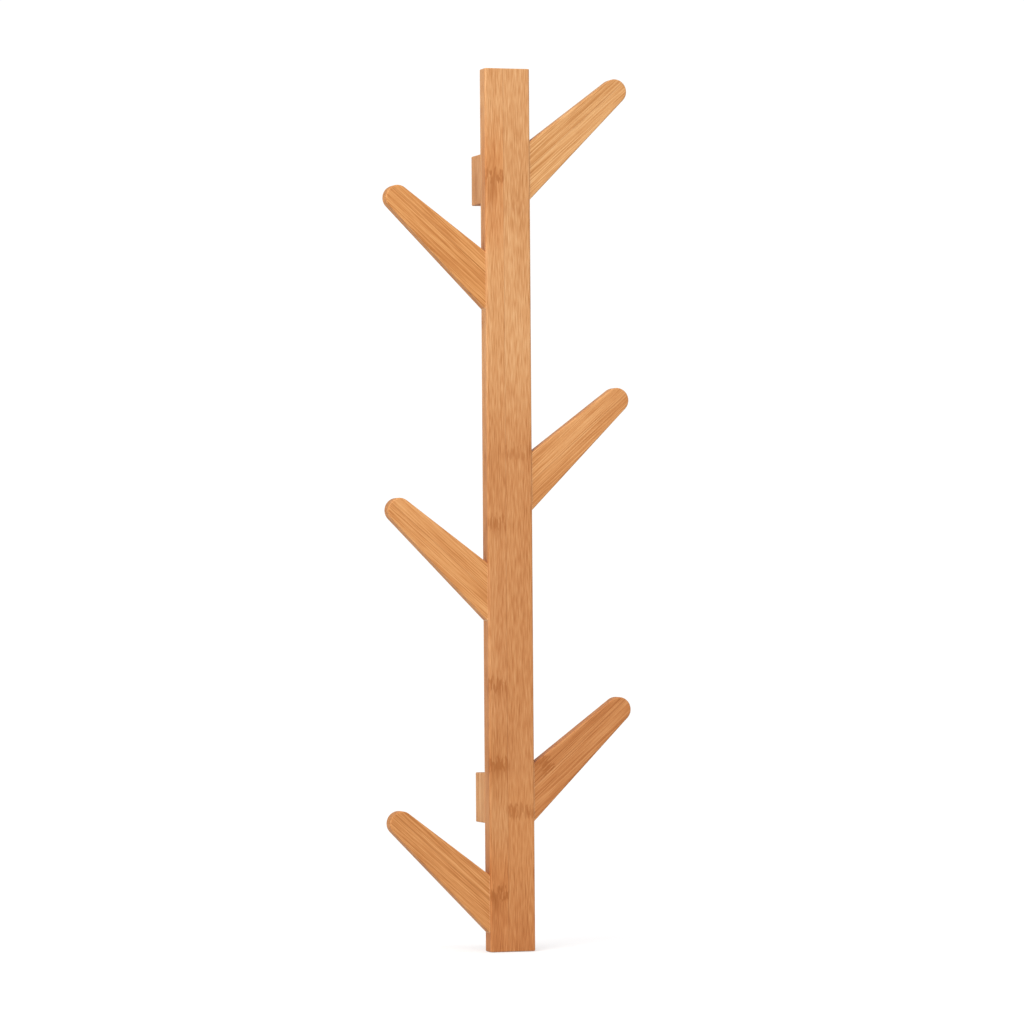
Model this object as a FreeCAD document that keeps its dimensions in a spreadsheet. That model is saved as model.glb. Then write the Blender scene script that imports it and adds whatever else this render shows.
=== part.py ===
import FreeCAD, Part
import math
import os
import re
import Sketcher
from FreeCAD import Placement, Rotation, Vector

# Wall hook rack: one upright bamboo post carries six flat hook boards, three on each side and
# staggered, and two spacer blocks hold it clear of the wall on keyhole hangers.
#
# Frame, in millimetres: +X is to the right as a person faces the rack, +Z is up, and the wall is
# the plane Y = 0, with the rack standing out from it towards -Y. The origin is on the wall, midway
# between the entry holes of the two keyholes.

SIZES = (
    # name, size, what it is
    ("post_height", 780, "length of the post"),
    ("post_width", 41.5, "width of the post's front face"),
    ("post_thickness", 16, "front to back"),
    ("post_front_round", 2, "easing of the two long front edges"),
    ("post_back_round", 1, "easing of the two long back edges"),
    ("post_end_round", 0.8, "easing round the two end faces"),
    ("lowest_hook_rise", 16.5, "foot of the post to the base of the lowest hook"),
    ("hook_pitch", 275, "one hook to the next on the same side"),
    ("hook_stagger", 97.5, "how far each right hook stands above its left neighbour"),
    ("hook_thickness", 13, "front to back, centred on the post's thickness"),
    ("hook_base", 51.5, "length of the mitred base along the post"),
    ("hook_tip_out", 80, "post's side to the centre of the rounded tip"),
    ("hook_tip_up", 98, "lower corner of the base to the centre of the rounded tip"),
    ("hook_tip_radius", 11, "full round at the tip"),
    ("hook_edge_round", 1.5, "easing round both faces"),
    ("dowel_radius", 3, "fluted wooden dowel"),
    ("dowel_length", 30, ""),
    ("dowel_in_hook", 13, "how much of the dowel sits in the hook"),
    ("dowel_chamfer", 0.8, "lead at each end of the dowel"),
    ("dowel_flute", 0.4, "radius of one flute"),
    ("dowel_flutes", 12, "flutes round one dowel"),
    ("dowel_low", 22, "base corner of the hook to the lower dowel"),
    ("dowel_spacing", 20, "lower dowel to upper dowel"),
    ("glue_gap", 0.1, "room all round a dowel or a screw in its hole"),
    ("glue_well", 1, "room beyond each end of a dowel"),
    ("block_depth", 27, "clear gap between the post and the wall"),
    ("block_height", 44, ""),
    ("block_spacing", 548, "upper block to lower block, centre to centre"),
    ("lower_block_rise", 135, "foot of the post to the centre of the lower block"),
    ("block_round", 1, "easing of the block's outer edges"),
    ("block_screw_across", 13.5, "screw to the block's centre line"),
    ("block_screw_up", 15, "screw to the block's mid height"),
    ("block_screw_sink", 3, "how deep the head sits below the block's back"),
    ("block_screw_length", 35, ""),
    ("block_screw_radius", 1.75, "over the thread"),
    ("block_screw_core", 1.15, "at the root of the thread"),
    ("block_screw_head_radius", 3.5, ""),
    ("block_screw_head_height", 2.4, ""),
    ("block_screw_pitch", 1.6, "one thread ridge to the next"),
    ("block_screw_ridges", 13, "thread ridges"),
    ("plate_width", 16, "hanger plate"),
    ("plate_height", 38, ""),
    ("plate_thickness", 1.5, ""),
    ("plate_gap", 0.15, "room all round the plate in its recess"),
    ("keyhole_drop", -3.5, "plate's centre to the centre of the entry hole"),
    ("keyhole_entry_radius", 4.75, "hole that passes a wall screw's head"),
    ("keyhole_neck_radius", 2.4, "half the width of the neck that holds its shank"),
    ("keyhole_lift", 8.5, "entry hole to the end of the neck, centre to centre"),
    ("head_room_radius", 5.5, "half the width of the slot behind the plate"),
    ("head_room_depth", 10.5, "depth of that slot from the block's back"),
    ("plate_screw_up", 15, "plate's centre to each of its screws"),
    ("plate_screw_sink", 0, "the heads are flush with the plate"),
    ("plate_screw_length", 12, ""),
    ("plate_screw_radius", 1.25, "over the thread"),
    ("plate_screw_core", 0.8, "at the root of the thread"),
    ("plate_screw_head_radius", 2.5, ""),
    ("plate_screw_head_height", 1.45, ""),
    ("plate_screw_pitch", 1.1, "one thread ridge to the next"),
    ("plate_screw_ridges", 7, "thread ridges"),
)
START = {name: number for name, number, meaning in SIZES}

# Heights above the origin that several pieces share.
LOWER_BLOCK_Z = "(-block_spacing / 2 - keyhole_drop)"
UPPER_BLOCK_Z = "(block_spacing / 2 - keyhole_drop)"
POST_FOOT_Z = "(-block_spacing / 2 - keyhole_drop - lower_block_rise)"
BLOCKS = {"upper": UPPER_BLOCK_Z, "lower": LOWER_BLOCK_Z}
LEVELS = ("lower", "middle", "upper")
SIDES = {"left": -1, "right": 1}
ORIGIN = (-1, 1)                    # a sketch's own origin, as Sketcher numbers it
THREAD_SLOPE = 0.35                 # share of the pitch taken by one flank of a thread ridge
RIDGE_ROOT = 0.1                    # how far a ridge is rooted in the screw's core


doc = FreeCAD.newDocument("wall_hook_rack")
sheet = doc.addObject("Spreadsheet::Sheet", "Sizes")
for row, (name, number, meaning) in enumerate(SIZES, start=1):
    sheet.set(f"A{row}", name)
    sheet.set(f"B{row}", str(number))
    sheet.set(f"C{row}", meaning)
    sheet.setAlias(f"B{row}", name)
doc.recompute()


# ---------------------------------------------------------------- helpers

def bind(thing, setting, formula):
    """Ties one setting to the sheet. The words of a formula are names of sizes."""
    thing.setExpression(setting, re.sub(r"([a-z]\w*)", r"Sizes.\1", formula))


def new_body(name, place, turn=Rotation()):
    """An empty body, turned, with its place given by three formulas."""
    body = doc.addObject("PartDesign::Body", name)
    body.Label = name
    body.Placement = Placement(Vector(), turn)
    for letter, formula in zip("xyz", place):
        bind(body, f"Placement.Base.{letter}", formula)
    return body


def new_sketch(body, name, plane, offset=("0", "0", "0")):
    """A sketch on one of the body's own planes, moved by formulas within it and off it."""
    sketch = body.newObject("Sketcher::SketchObject", name)
    support = next(part for part in body.Origin.OriginFeatures if part.Role == plane)
    sketch.AttachmentSupport = [(support, "")]
    sketch.MapMode = "FlatFace"
    for letter, formula in zip("xyz", offset):
        bind(sketch, f"AttachmentOffset.Base.{letter}", formula)
    return sketch


def dimension(sketch, kind, where, formula, guess=1.0):
    """Adds one driving dimension. Distances along the sketch's axes carry a sign."""
    number = sketch.addConstraint(Sketcher.Constraint(kind, *where, guess))
    bind(sketch, f"Constraints[{number}]", formula)


def pin_point(sketch, line, end, across, up):
    """Holds one point at two signed distances from the sketch's origin."""
    dimension(sketch, "DistanceX", (*ORIGIN, line, end), across)
    dimension(sketch, "DistanceY", (*ORIGIN, line, end), up)


def draw_outline(sketch, corners):
    """A closed outline of straight lines, each corner given by two formulas."""
    count = len(corners)
    ring = [Vector(math.cos(math.tau * i / count), math.sin(math.tau * i / count), 0) for i in range(count)]
    lines = [sketch.addGeometry(Part.LineSegment(ring[i], ring[(i + 1) % count])) for i in range(count)]
    for i, line in enumerate(lines):
        sketch.addConstraint(Sketcher.Constraint("Coincident", line, 2, lines[(i + 1) % count], 1))
    for line, (across, up) in zip(lines, corners):
        pin_point(sketch, line, 1, across, up)


def draw_rectangle(sketch, width, height):
    """A rectangle centred on the sketch's origin."""
    corners = ((-1, -1), (1, -1), (1, 1), (-1, 1))
    draw_outline(sketch, [(f"{x} * ({width}) / 2", f"{y} * ({height}) / 2") for x, y in corners])


def draw_circles(sketch, radius, centres):
    for across, up in centres:
        circle = sketch.addGeometry(Part.Circle(Vector(0, 0, 0), Vector(0, 0, 1), 1))
        dimension(sketch, "Radius", (circle,), radius)
        pin_point(sketch, circle, 3, across, up)


def draw_round_slot(sketch, lower_radius, upper_radius, low, high):
    """Two vertical lines between a lower and an upper arc. Equal radii give a plain slot, with
    tangent ends; a larger lower arc gives a keyhole."""
    keyhole = lower_radius != upper_radius
    wide = 2.0 if keyhole else 1.0
    tilt = math.asin(1 / wide) if keyhole else 0
    rise = wide * math.cos(tilt) if keyhole else 0
    lower_arc = Part.ArcOfCircle(
        Part.Circle(Vector(0, 0, 0), Vector(0, 0, 1), wide),
        math.pi / 2 + tilt if keyhole else math.pi,
        5 * math.pi / 2 - tilt if keyhole else math.tau,
    )
    upper_arc = Part.ArcOfCircle(Part.Circle(Vector(0, 4, 0), Vector(0, 0, 1), 1), 0, math.pi)
    bottom = sketch.addGeometry(lower_arc)
    top = sketch.addGeometry(upper_arc)
    right = sketch.addGeometry(Part.LineSegment(Vector(1, rise, 0), Vector(1, 4, 0)))
    left = sketch.addGeometry(Part.LineSegment(Vector(-1, 4, 0), Vector(-1, rise, 0)))
    joint = "Coincident" if keyhole else "Tangent"
    sketch.addConstraint(Sketcher.Constraint(joint, bottom, 2, right, 1))
    sketch.addConstraint(Sketcher.Constraint("Tangent", right, 2, top, 1))
    sketch.addConstraint(Sketcher.Constraint("Tangent", top, 2, left, 1))
    sketch.addConstraint(Sketcher.Constraint(joint, left, 2, bottom, 1))
    sketch.addConstraint(Sketcher.Constraint("Vertical", right))
    if keyhole:
        sketch.addConstraint(Sketcher.Constraint("Vertical", left))
    else:
        sketch.addConstraint(Sketcher.Constraint("Equal", bottom, top))
    dimension(sketch, "Radius", (top,), upper_radius)
    if keyhole:
        dimension(sketch, "Radius", (bottom,), lower_radius, wide)
        dimension(sketch, "DistanceX", (*ORIGIN, top, 3), "0")
    pin_point(sketch, bottom, 3, "0", low)
    dimension(sketch, "DistanceY", (*ORIGIN, top, 3), high, 4)


def finish_feature(body, feature, grows):
    """Makes the feature count, and stops if it didn't change the solid the way it should."""
    before = body.Shape.Volume if not body.Shape.isNull() else 0
    body.Tip = feature
    doc.recompute()
    change = body.Shape.Volume - before
    if change == 0 or (change > 0) != grows:
        raise RuntimeError(f"{body.Label}: {feature.Name} changed the volume by {change:.3f}")
    return feature


def add_pad(body, name, sketch, length, both_ways=False):
    pad = body.newObject("PartDesign::Pad", name)
    pad.Profile = sketch
    pad.SideType = "Symmetric" if both_ways else "One side"
    bind(pad, "Length", length)
    return finish_feature(body, pad, True)


def cut_pocket(body, name, sketch, depth, along_normal):
    pocket = body.newObject("PartDesign::Pocket", name)
    pocket.Profile = sketch
    pocket.Reversed = along_normal
    bind(pocket, "Length", depth)
    return finish_feature(body, pocket, False)


def turn_profile(body, kind, name, sketch, axis):
    """A revolution or a groove, a full turn about one of the sketch's axes."""
    turned = body.newObject(f"PartDesign::{kind}", name)
    turned.Profile = sketch
    turned.ReferenceAxis = (sketch, [axis])
    turned.Angle = 360
    return finish_feature(body, turned, kind == "Revolution")


def cut_bore(body, name, across, up, wall):
    """A round bore from the body's back plane inwards, at one place on that plane. Its wall is a
    list of radius and depth, from the mouth to the bottom."""
    sketch = new_sketch(body, f"{name}_section", "YZ_Plane", ("0", up, across))
    steps = [("0", "0"), *[(f"-({depth})", radius) for radius, depth in wall]]
    steps.append((f"-({wall[-1][1]})", "0"))
    draw_outline(sketch, steps)
    return turn_profile(body, "Groove", name, sketch, "H_Axis")


def repeat_along(body, name, feature, sketch, length, count, grows):
    pattern = body.newObject("PartDesign::LinearPattern", name)
    pattern.Originals = [feature]
    pattern.Direction = (sketch, ["V_Axis"])
    pattern.Reversed = length.startswith("-")
    bind(pattern, "Length", length.lstrip("-"))
    bind(pattern, "Occurrences", count)
    return finish_feature(body, pattern, grows)


def trim_edges(body, kind, name, amount, chosen):
    """A fillet or a chamfer on the edges of the body's last feature that chosen(edge) picks."""
    base = body.Tip
    names = [f"Edge{i}" for i, edge in enumerate(base.Shape.Edges, start=1) if chosen(edge)]
    trim = body.newObject(f"PartDesign::{kind}", name)
    trim.Base = (base, names)
    bind(trim, "Radius" if kind == "Fillet" else "Size", amount)
    return finish_feature(body, trim, False)


def lies_at(edge, letter, place):
    """True if the whole edge lies at one X, Y or Z of its body."""
    near = 1e-4
    low = getattr(edge.BoundBox, f"{letter}Min")
    high = getattr(edge.BoundBox, f"{letter}Max")
    return abs(low - place) < near and abs(high - place) < near


# ---------------------------------------------------------------- post

def make_post():
    """One upright board. Its local origin is at the middle of its foot, on its back face."""
    body = new_body("post", ("0", "-block_depth", POST_FOOT_Z))
    outline = new_sketch(body, "post_outline", "XZ_Plane", ("0", "post_height / 2", "0"))
    draw_rectangle(outline, "post_width", "post_height")
    add_pad(body, "post_board", outline, "post_thickness")

    side = START["post_width"] / 2
    front = -START["post_thickness"]
    top = START["post_height"]

    def is_long(edge):
        return lies_at(edge, "X", side) or lies_at(edge, "X", -side)

    trim_edges(body, "Fillet", "front_easing", "post_front_round",
               lambda edge: is_long(edge) and lies_at(edge, "Y", front))
    trim_edges(body, "Fillet", "back_easing", "post_back_round",
               lambda edge: is_long(edge) and lies_at(edge, "Y", 0))
    trim_edges(body, "Fillet", "end_easing", "post_end_round",
               lambda edge: lies_at(edge, "Z", 0) or lies_at(edge, "Z", top))

    for side_name, sign in SIDES.items():
        stagger = "hook_stagger" if sign > 0 else "0"
        lowest = f"lowest_hook_rise + {stagger} + dowel_low"
        sketch = new_sketch(body, f"{side_name}_dowel_circles", "YZ_Plane",
                            ("-post_thickness / 2", lowest, f"{sign} * post_width / 2"))
        draw_circles(sketch, "dowel_radius + glue_gap", [("0", "0"), ("0", "dowel_spacing")])
        pocket = cut_pocket(body, f"{side_name}_dowel_holes", sketch,
                            "dowel_length - dowel_in_hook + glue_well", along_normal=sign < 0)
        repeat_along(body, f"{side_name}_hook_levels", pocket, sketch, "2 * hook_pitch", "3", False)

    pilot_depth = "block_screw_sink + block_screw_length - block_depth + glue_well"
    for block_name, height in BLOCKS.items():
        for side_name, sign in SIDES.items():
            cut_bore(body, f"pilot_{block_name}_{side_name}", f"{sign} * block_screw_across",
                     f"{height} - {POST_FOOT_Z} - {sign} * block_screw_up",
                     [("block_screw_radius + glue_gap", "0"),
                      ("block_screw_radius + glue_gap", pilot_depth)])
    return body


# ---------------------------------------------------------------- hooks

def tangent_point(corner, upper):
    """Where the line from a base corner touches the circle of the tip."""
    centre = Vector(START["hook_tip_out"], START["hook_tip_up"], 0)
    reach = centre - corner
    radius = START["hook_tip_radius"]
    spread = math.asin(radius / reach.Length)
    heading = math.atan2(reach.y, reach.x) + (spread if upper else -spread)
    run = math.sqrt(reach.Length ** 2 - radius ** 2)
    return corner + Vector(run * math.cos(heading), run * math.sin(heading), 0)


def draw_hook_outline(sketch):
    """A mitred base, two straight edges that draw together, and a full round at the tip."""
    centre = Vector(START["hook_tip_out"], START["hook_tip_up"], 0)
    low_corner = Vector(0, 0, 0)
    high_corner = Vector(0, START["hook_base"], 0)
    low_touch = tangent_point(low_corner, upper=False)
    high_touch = tangent_point(high_corner, upper=True)
    start = math.atan2(low_touch.y - centre.y, low_touch.x - centre.x)
    end = math.atan2(high_touch.y - centre.y, high_touch.x - centre.x)
    tip_circle = Part.Circle(centre, Vector(0, 0, 1), START["hook_tip_radius"])
    base = sketch.addGeometry(Part.LineSegment(high_corner, low_corner))
    lower = sketch.addGeometry(Part.LineSegment(low_corner, low_touch))
    tip = sketch.addGeometry(Part.ArcOfCircle(tip_circle, start, end))
    upper = sketch.addGeometry(Part.LineSegment(high_touch, high_corner))
    sketch.addConstraint(Sketcher.Constraint("Coincident", base, 2, lower, 1))
    sketch.addConstraint(Sketcher.Constraint("Tangent", lower, 2, tip, 1))
    sketch.addConstraint(Sketcher.Constraint("Tangent", tip, 2, upper, 1))
    sketch.addConstraint(Sketcher.Constraint("Coincident", upper, 2, base, 1))
    pin_point(sketch, lower, 1, "0", "0")
    pin_point(sketch, base, 1, "0", "hook_base")
    pin_point(sketch, tip, 3, "hook_tip_out", "hook_tip_up")
    dimension(sketch, "Radius", (tip,), "hook_tip_radius", START["hook_tip_radius"])


def hook_base_height(sign, level):
    stagger = "hook_stagger" if sign > 0 else "0"
    return f"{POST_FOOT_Z} + lowest_hook_rise + {stagger} + {level} * hook_pitch"


def make_hook(name, sign, level):
    """A flat board. Its local origin is the lower corner of its base, in its middle plane, and it
    reaches towards +X, so a left hook is a right one turned half round about the upright."""
    place = (f"{sign} * post_width / 2", "-block_depth - post_thickness / 2", hook_base_height(sign, level))
    body = new_body(name, place, Rotation(Vector(0, 0, 1), 0 if sign > 0 else 180))
    outline = new_sketch(body, f"{name}_outline", "XZ_Plane")
    draw_hook_outline(outline)
    add_pad(body, f"{name}_board", outline, "hook_thickness", both_ways=True)
    face = START["hook_thickness"] / 2
    trim_edges(body, "Fillet", f"{name}_easing", "hook_edge_round",
               lambda edge: (lies_at(edge, "Y", face) or lies_at(edge, "Y", -face))
               and not lies_at(edge, "X", 0))
    circles = new_sketch(body, f"{name}_dowel_circles", "YZ_Plane", ("0", "dowel_low", "0"))
    draw_circles(circles, "dowel_radius + glue_gap", [("0", "0"), ("0", "dowel_spacing")])
    cut_pocket(body, f"{name}_dowel_holes", circles, "dowel_in_hook + glue_well", along_normal=True)
    return body


# ---------------------------------------------------------------- dowels

def make_dowel(name, sign, level, step):
    """A fluted dowel across the joint between a hook and the post, standing along X."""
    out = f"{sign} * (post_width / 2 + dowel_in_hook - dowel_length / 2)"
    height = f"{hook_base_height(sign, level)} + dowel_low + {step} * dowel_spacing"
    body = new_body(name, (out, "-block_depth - post_thickness / 2", height))
    rim = new_sketch(body, f"{name}_section", "YZ_Plane")
    draw_circles(rim, "dowel_radius", [("0", "0")])
    add_pad(body, f"{name}_rod", rim, "dowel_length", both_ways=True)

    end = START["dowel_length"] / 2
    trim_edges(body, "Chamfer", f"{name}_lead", "dowel_chamfer",
               lambda edge: lies_at(edge, "X", end) or lies_at(edge, "X", -end))

    flute = new_sketch(body, f"{name}_flute_section", "YZ_Plane", ("0", "0", "-dowel_length / 2"))
    draw_circles(flute, "dowel_flute", [("dowel_radius", "0")])
    groove = cut_pocket(body, f"{name}_flute", flute, "dowel_length", along_normal=True)
    flutes = body.newObject("PartDesign::PolarPattern", f"{name}_flutes")
    flutes.Originals = [groove]
    flutes.Axis = (flute, ["N_Axis"])
    flutes.Angle = 360
    bind(flutes, "Occurrences", "dowel_flutes")
    finish_feature(body, flutes, False)
    return body


# ---------------------------------------------------------------- screws

def make_screw(name, kind, across, up):
    """A countersunk wood screw driven from the wall side. Locally it points down, with the top of
    its head at the local origin. Its thread is a stack of ridges of the right depth and pitch."""
    body = new_body(name, (across, f"-{kind}_sink", up), Rotation(Vector(1, 0, 0), -90))
    first_ridge = f"-{kind}_length + {kind}_ridges * {kind}_pitch + {kind}_core"
    profile = new_sketch(body, f"{name}_profile", "XZ_Plane")
    draw_outline(profile, [
        ("0", "0"),
        (f"{kind}_head_radius", "0"),
        (f"{kind}_head_radius", f"-{kind}_head_height / 8"),
        (f"{kind}_core", f"-{kind}_head_height"),
        (f"{kind}_core", f"-{kind}_length + 2 * {kind}_core"),
        ("0", f"-{kind}_length"),
    ])
    turn_profile(body, "Revolution", f"{name}_blank", profile, "V_Axis")

    ridge = new_sketch(body, f"{name}_ridge_section", "XZ_Plane", ("0", first_ridge, "0"))
    draw_outline(ridge, [
        (f"{kind}_core - {RIDGE_ROOT}", f"{THREAD_SLOPE} * {kind}_pitch"),
        (f"{kind}_core - {RIDGE_ROOT}", f"-{THREAD_SLOPE} * {kind}_pitch"),
        (f"{kind}_radius", "0"),
    ])
    turned = turn_profile(body, "Revolution", f"{name}_ridge", ridge, "V_Axis")
    run = f"-({kind}_ridges - 1) * {kind}_pitch"
    repeat_along(body, f"{name}_thread", turned, ridge, run, f"{kind}_ridges", True)

    long_side = f"{kind}_head_radius"
    short_side = f"{kind}_head_radius / 4"
    for number, (width, height) in enumerate(((long_side, short_side), (short_side, long_side)), start=1):
        arm = new_sketch(body, f"{name}_recess_arm_{number}", "XY_Plane")
        draw_rectangle(arm, width, height)
        cut_pocket(body, f"{name}_recess_{number}", arm, f"{kind}_head_height / 2", along_normal=False)
    return body


# ---------------------------------------------------------------- spacer blocks

def make_block(level, height):
    """A solid block between post and wall. Its local origin is the centre of its back face."""
    body = new_body(f"spacer_block_{level}", ("0", "0", height))
    outline = new_sketch(body, f"block_{level}_outline", "XZ_Plane")
    draw_rectangle(outline, "post_width", "block_height")
    add_pad(body, f"block_{level}_blank", outline, "block_depth")

    front = -START["block_depth"]
    trim_edges(body, "Fillet", f"block_{level}_easing", "block_round",
               lambda edge: not lies_at(edge, "Y", front))

    seat = new_sketch(body, f"block_{level}_plate_seat_outline", "XZ_Plane")
    end = "(plate_height / 2 - plate_width / 2)"
    half_seat = "plate_width / 2 + plate_gap"
    draw_round_slot(seat, half_seat, half_seat, f"-{end}", end)
    cut_pocket(body, f"block_{level}_plate_seat", seat, "plate_thickness", along_normal=True)

    room = new_sketch(body, f"block_{level}_head_room_outline", "XZ_Plane", ("0", "keyhole_drop", "0"))
    draw_round_slot(room, "head_room_radius", "head_room_radius", "0", "keyhole_lift")
    cut_pocket(body, f"block_{level}_head_room", room, "head_room_depth", along_normal=True)

    rim = "block_screw_head_radius + glue_gap"
    bore = "block_screw_radius + glue_gap"
    for side_name, sign in SIDES.items():
        cut_bore(body, f"block_{level}_bore_{side_name}", f"{sign} * block_screw_across",
                 f"-{sign} * block_screw_up",
                 [(rim, "0"),
                  (rim, "block_screw_sink + block_screw_head_height / 8"),
                  (bore, "block_screw_sink + block_screw_head_height"),
                  (bore, "block_depth")])

    pilot = "plate_screw_radius + glue_gap"
    for end_name, sign in (("top", 1), ("bottom", -1)):
        cut_bore(body, f"block_{level}_pilot_{end_name}", "0", f"{sign} * plate_screw_up",
                 [(pilot, "0"), (pilot, "plate_screw_length + glue_well")])
    return body


# ---------------------------------------------------------------- keyhole hangers

def make_plate(level, height):
    """A steel keyhole plate let in flush. Its local origin is the centre of its wall side."""
    body = new_body(f"hanger_plate_{level}", ("0", "0", height))
    outline = new_sketch(body, f"plate_{level}_outline", "XZ_Plane")
    end = "(plate_height / 2 - plate_width / 2)"
    draw_round_slot(outline, "plate_width / 2", "plate_width / 2", f"-{end}", end)
    add_pad(body, f"plate_{level}_blank", outline, "plate_thickness")

    keyhole = new_sketch(body, f"plate_{level}_keyhole_outline", "XZ_Plane", ("0", "keyhole_drop", "0"))
    draw_round_slot(keyhole, "keyhole_entry_radius", "keyhole_neck_radius", "0", "keyhole_lift")
    cut_pocket(body, f"plate_{level}_keyhole", keyhole, "plate_thickness", along_normal=True)

    rim = "plate_screw_head_radius + glue_gap"
    bore = "plate_screw_radius + glue_gap"
    for end_name, sign in (("top", 1), ("bottom", -1)):
        cut_bore(body, f"plate_{level}_hole_{end_name}", "0", f"{sign} * plate_screw_up",
                 [(rim, "0"),
                  (rim, "plate_screw_head_height / 8"),
                  (bore, "plate_screw_head_height"),
                  (bore, "plate_thickness")])
    return body


# ---------------------------------------------------------------- the rack

bodies = [make_post()]
for side_name, sign in SIDES.items():
    for level, level_name in enumerate(LEVELS):
        bodies.append(make_hook(f"hook_{side_name}_{level_name}", sign, level))
        for step, end_name in enumerate(("bottom", "top")):
            bodies.append(make_dowel(f"dowel_{side_name}_{level_name}_{end_name}", sign, level, step))

for level, height in BLOCKS.items():
    bodies.append(make_block(level, height))
    bodies.append(make_plate(level, height))
    for side_name, sign in SIDES.items():
        bodies.append(make_screw(f"block_screw_{level}_{side_name}", "block_screw",
                                 f"{sign} * block_screw_across", f"{height} - {sign} * block_screw_up"))
    for end_name, sign in (("top", 1), ("bottom", -1)):
        bodies.append(make_screw(f"hanger_screw_{level}_{end_name}", "plate_screw",
                                 "0", f"{height} + {sign} * plate_screw_up"))

doc.recompute()


# ---------------------------------------------------------------- checks and files

for thing in doc.Objects:
    if "Invalid" in thing.State or "Error" in thing.State:
        raise RuntimeError(f"{thing.Name} failed: {thing.State}")
for body in bodies:
    if body.Shape.isNull() or not body.Shape.isValid() or len(body.Shape.Solids) != 1:
        raise RuntimeError(f"{body.Label} isn't one sound solid")

os.makedirs("parts", exist_ok=True)
for body in bodies:
    body.Shape.exportStep(f"parts/{body.Label}.step")
    box = body.Shape.BoundBox
    print(f"{body.Label:28s} {body.Shape.Volume:11.1f} mm3  "
          f"x {box.XMin:7.1f} {box.XMax:7.1f}  y {box.YMin:6.1f} {box.YMax:6.1f}  "
          f"z {box.ZMin:7.1f} {box.ZMax:7.1f}")
print(f"{len(bodies)} pieces")
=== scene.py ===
# %% [markdown]
# # A wall hook rack in laminated bamboo
#
# The real rack is an upright board with six tapered hook boards dowelled into its two edges. Two
# spacer blocks hold the board clear of the wall, and a keyhole plate is let into each block's
# back. Its shapes come finished from the CAD model, so this lesson is about how such a thing
# looks: how bamboo strips, their fibres and their knuckles are drawn with nodes, and how a studio
# lights them.

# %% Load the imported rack
import math

import bmesh
import bpy
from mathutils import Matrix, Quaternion, Vector


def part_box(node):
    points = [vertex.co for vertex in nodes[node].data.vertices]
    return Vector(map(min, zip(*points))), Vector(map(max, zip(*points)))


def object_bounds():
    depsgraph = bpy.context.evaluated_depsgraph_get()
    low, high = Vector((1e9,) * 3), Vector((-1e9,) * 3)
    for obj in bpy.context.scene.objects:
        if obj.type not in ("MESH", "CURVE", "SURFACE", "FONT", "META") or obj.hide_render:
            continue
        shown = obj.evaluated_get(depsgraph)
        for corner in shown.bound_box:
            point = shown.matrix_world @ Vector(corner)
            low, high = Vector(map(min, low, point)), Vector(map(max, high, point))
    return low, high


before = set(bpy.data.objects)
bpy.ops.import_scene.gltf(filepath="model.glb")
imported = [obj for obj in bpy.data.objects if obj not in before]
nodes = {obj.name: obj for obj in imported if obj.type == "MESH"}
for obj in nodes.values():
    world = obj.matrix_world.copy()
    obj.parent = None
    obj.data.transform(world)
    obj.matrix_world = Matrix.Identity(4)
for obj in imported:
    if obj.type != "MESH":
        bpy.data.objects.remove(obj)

MM = 0.001
cad_low, cad_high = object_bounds()
cad_middle = (cad_low + cad_high) / 2
cad_size_mm = [round(side / MM, 1) for side in cad_high - cad_low]
print(f"{len(nodes)} CAD pieces, {cad_size_mm} mm in all")

# %% [markdown]
# ## The camera
#
# A long lens from over four metres away keeps the tall board's edges almost parallel, as they look
# from across a hall. A wide lens near by would also hold the whole rack, but it would splay the
# ends. The camera stands a little to the left, so that the board shows its left edge, and a touch
# below the middle, so that the hooks above it show a sliver of their undersides.

# %% Place the camera
CAMERA_AZIMUTH = -17.356
CAMERA_ELEVATION = -0.853
CAMERA_ROLL = -0.405
CAMERA_DISTANCE = 4.3987
CAMERA_LENS_MM = 174.27
CAMERA_AIM = cad_middle + Vector((8.00, -0.97, -1.99)) * MM


def direction(azimuth, elevation):
    """The unit vector from the rack towards a viewer at these angles, in degrees."""
    turn = math.radians(azimuth)
    rise = math.radians(elevation)
    level = math.cos(rise)
    return Vector((math.sin(turn) * level, -math.cos(turn) * level, math.sin(rise)))


camera = bpy.data.objects.new("camera", bpy.data.cameras.new("camera"))
bpy.context.scene.collection.objects.link(camera)
camera.data.lens = CAMERA_LENS_MM
camera.data.sensor_width = 36.0
camera.data.clip_end = 100.0
backwards = direction(CAMERA_AZIMUTH, CAMERA_ELEVATION)
camera.location = CAMERA_AIM + backwards * CAMERA_DISTANCE
camera.rotation_mode = "QUATERNION"
roll = Quaternion((0.0, 0.0, 1.0), math.radians(CAMERA_ROLL))
camera.rotation_quaternion = backwards.to_track_quat("Z", "Y") @ roll
bpy.context.scene.camera = camera
print("camera stands at", [round(place, 3) for place in camera.location])

# %% [markdown]
# ## Helpers for node trees
#
# A material is a small program, and each node is one step of it. The helpers below put a step
# down and wire it up in a single line, so that the recipes further on read like sums. Working by
# hand in the node editor gives the same trees, but a recipe in code is easier to repeat for a
# dozen finishes.

# %% Put a node down and feed its sockets


def put(tree, kind, **settings):
    """Adds a node and sets its options."""
    node = tree.nodes.new(kind)
    for name, value in settings.items():
        setattr(node, name, value)
    return node


def feed(tree, socket, source):
    """Links an output to a socket, or types a plain value into it."""
    if isinstance(source, bpy.types.NodeSocket):
        tree.links.new(source, socket)
    else:
        socket.default_value = source


def number(tree, operation, *sources, clamp=False):
    """One sum on plain numbers."""
    node = put(tree, "ShaderNodeMath", operation=operation, use_clamp=clamp)
    for socket, source in zip(node.inputs, sources):
        feed(tree, socket, source)
    return node.outputs[0]


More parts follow.
